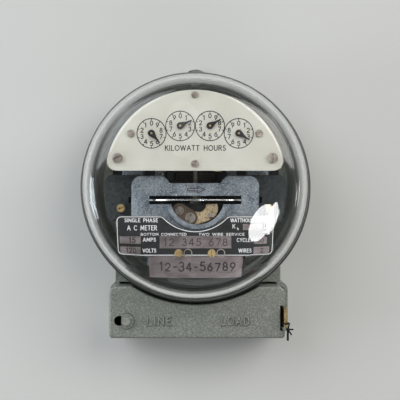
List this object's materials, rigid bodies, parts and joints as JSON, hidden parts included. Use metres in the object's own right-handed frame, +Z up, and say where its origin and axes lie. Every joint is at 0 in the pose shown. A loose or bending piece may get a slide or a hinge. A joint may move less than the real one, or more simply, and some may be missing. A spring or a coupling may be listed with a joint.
{
  "type": "watthour meter",
  "caption": "Wall-mounted watthour meter: a round glass cover over a geared dial register and a spinning disk, on a base with a terminal box below.",
  "frame": {"origin": "axis of the round base at the wall plane", "axes": "+Z up the wall, +X to the right seen from the front, -Y out of the wall towards the reader"},
  "size_m": [0.1684, 0.124, 0.2052],
  "materials": {
    "hammertone_paint": "grey-green hammertone enamel",
    "zinc_steel": "zinc-plated steel",
    "nickel": "nickel plate, dulled",
    "brass": "brass, dulled",
    "bakelite": "moulded black phenolic",
    "cast_aluminium": "as-cast, mottled",
    "disk_aluminium": "bright rolled sheet",
    "core_iron": "laminated silicon steel, black varnish",
    "magnet_paint": "dark grey hammertone enamel",
    "coil_wrap": "varnished cotton tape",
    "copper_lead": "bare copper strip",
    "dial_enamel": "cream enamel",
    "black_enamel": "black enamel, semi-gloss",
    "rating_metal": "satin stamped metal",
    "chromate": "yellow chromate, spotted with rust",
    "clamp_brown": "brown lacquer, worn",
    "glass": "clear moulded glass",
    "gasket_felt": "dark felt",
    "ring_metal": "grey enamel over brass",
    "seal_black": "black sealing wire"
  },
  "bodies": {
    "base": {"base_housing": "hammertone_paint", "entry_plate": "bakelite", "hanger_lug": "zinc_steel", "hanger_rivets": "zinc_steel", "terminal_block": "bakelite", "terminal_lugs": "brass", "terminal_screws": "nickel", "current_leads": "copper_lead", "potential_core": "core_iron", "potential_coil": "coil_wrap", "current_core": "core_iron", "current_coils": "coil_wrap", "drag_magnets": "magnet_paint", "magnet_brackets": "magnet_paint", "magnet_clamps": "cast_aluminium", "magnet_screws": "brass", "mechanism_frame": "cast_aluminium", "frame_screws": "nickel", "upper_bearing": "brass", "lower_bearing": "brass", "register_back_plate": "brass", "register_front_plate": "brass", "register_pillars": "brass", "register_posts": "zinc_steel", "dial_face": "dial_enamel", "dial_screws": "nickel", "register_mount_screws": "nickel", "adjuster_bracket": "black_enamel", "adjuster_clamp": "clamp_brown", "adjuster_screw": "nickel", "adjuster_stud": "nickel", "nameplate": "black_enamel", "rating_inserts": "rating_metal", "serial_plate": "rating_metal", "nameplate_screws": "brass", "plate_eyelets": "nickel", "lower_plate": "rating_metal", "lower_shield": "black_enamel", "cover_stud": "zinc_steel", "seal_hasp": "brass", "seal_wire": "seal_black"},
    "rotor": {"rotor_disk": "disk_aluminium", "rotor_spindle": "nickel"},
    "worm_wheel": {"worm_wheel_arbor": "brass"},
    "idler": {"idler_arbor": "brass"},
    "ones_hand": {"ones_arbor": "brass", "ones_pointer": "black_enamel"},
    "tens_hand": {"tens_arbor": "brass", "tens_pointer": "black_enamel"},
    "hundreds_hand": {"hundreds_arbor": "brass", "hundreds_pointer": "black_enamel"},
    "thousands_hand": {"thousands_arbor": "brass", "thousands_pointer": "black_enamel"},
    "light_load_lever": {"adjuster_plate": "chromate", "adjuster_rivet": "nickel"},
    "test_link": {"potential_link": "brass"},
    "glass": {"glass_cover": "glass", "cover_gasket": "gasket_felt"},
    "ring": {"cover_ring": "ring_metal"},
    "terminal_lid": {"terminal_cover": "hammertone_paint"}
  },
  "joints": [
    {"name": "disk_spin", "type": "hinge", "parent": "base", "child": "rotor", "pos_m": [0, -0.049, -0.0092], "axis": [0, 0, 1], "continuous": true},
    {"name": "worm_wheel_turn", "type": "hinge", "parent": "base", "child": "worm_wheel", "pos_m": [0.01795, -0.049, 0.03325], "axis": [0, 1, 0], "continuous": true},
    {"name": "idler_turn", "type": "hinge", "parent": "base", "child": "idler", "pos_m": [0.01535, -0.08, 0.02143], "axis": [0, 1, 0], "continuous": true},
    {"name": "ones_hand_turn", "type": "hinge", "parent": "base", "child": "ones_hand", "pos_m": [0.02936, -0.0966, 0.0357], "axis": [0, 1, 0], "continuous": true},
    {"name": "tens_hand_turn", "type": "hinge", "parent": "base", "child": "tens_hand", "pos_m": [0.01, -0.0966, 0.0407], "axis": [0, 1, 0], "continuous": true},
    {"name": "hundreds_hand_turn", "type": "hinge", "parent": "base", "child": "hundreds_hand", "pos_m": [-0.01, -0.0966, 0.0407], "axis": [0, 1, 0], "continuous": true},
    {"name": "thousands_hand_turn", "type": "hinge", "parent": "base", "child": "thousands_hand", "pos_m": [-0.02936, -0.0966, 0.0357], "axis": [0, 1, 0], "continuous": true},
    {"name": "light_load_adjust", "type": "hinge", "parent": "base", "child": "light_load_lever", "pos_m": [-0.0035, -0.0752, -0.0215], "axis": [0, 1, 0], "range_deg": [-3, 3]},
    {"name": "test_link_swing", "type": "hinge", "parent": "base", "child": "test_link", "pos_m": [0.003, -0.0259, -0.098], "axis": [0, 1, 0], "range_deg": [0, 75]},
    {"name": "glass_lift_off", "type": "slide", "parent": "base", "child": "glass", "axis": [0, -1, 0], "range_m": [0, 0.13]},
    {"name": "ring_twist", "type": "hinge", "parent": "glass", "child": "ring", "pos_m": [0, -0.04, 0], "axis": [0, -1, 0], "range_deg": [0, 20]},
    {"name": "terminal_cover_off", "type": "slide", "parent": "base", "child": "terminal_lid", "axis": [0, -1, 0], "range_m": [0, 0.07]}
  ],
  "couplings": [
    {"joint": "worm_wheel_turn", "follows": "disk_spin", "ratio": 0.01},
    {"joint": "idler_turn", "follows": "disk_spin", "ratio": -0.001},
    {"joint": "ones_hand_turn", "follows": "disk_spin", "ratio": 0.0001},
    {"joint": "tens_hand_turn", "follows": "disk_spin", "ratio": -0.00001},
    {"joint": "hundreds_hand_turn", "follows": "disk_spin", "ratio": 0.000001},
    {"joint": "thousands_hand_turn", "follows": "disk_spin", "ratio": -0.0000001}
  ]
}
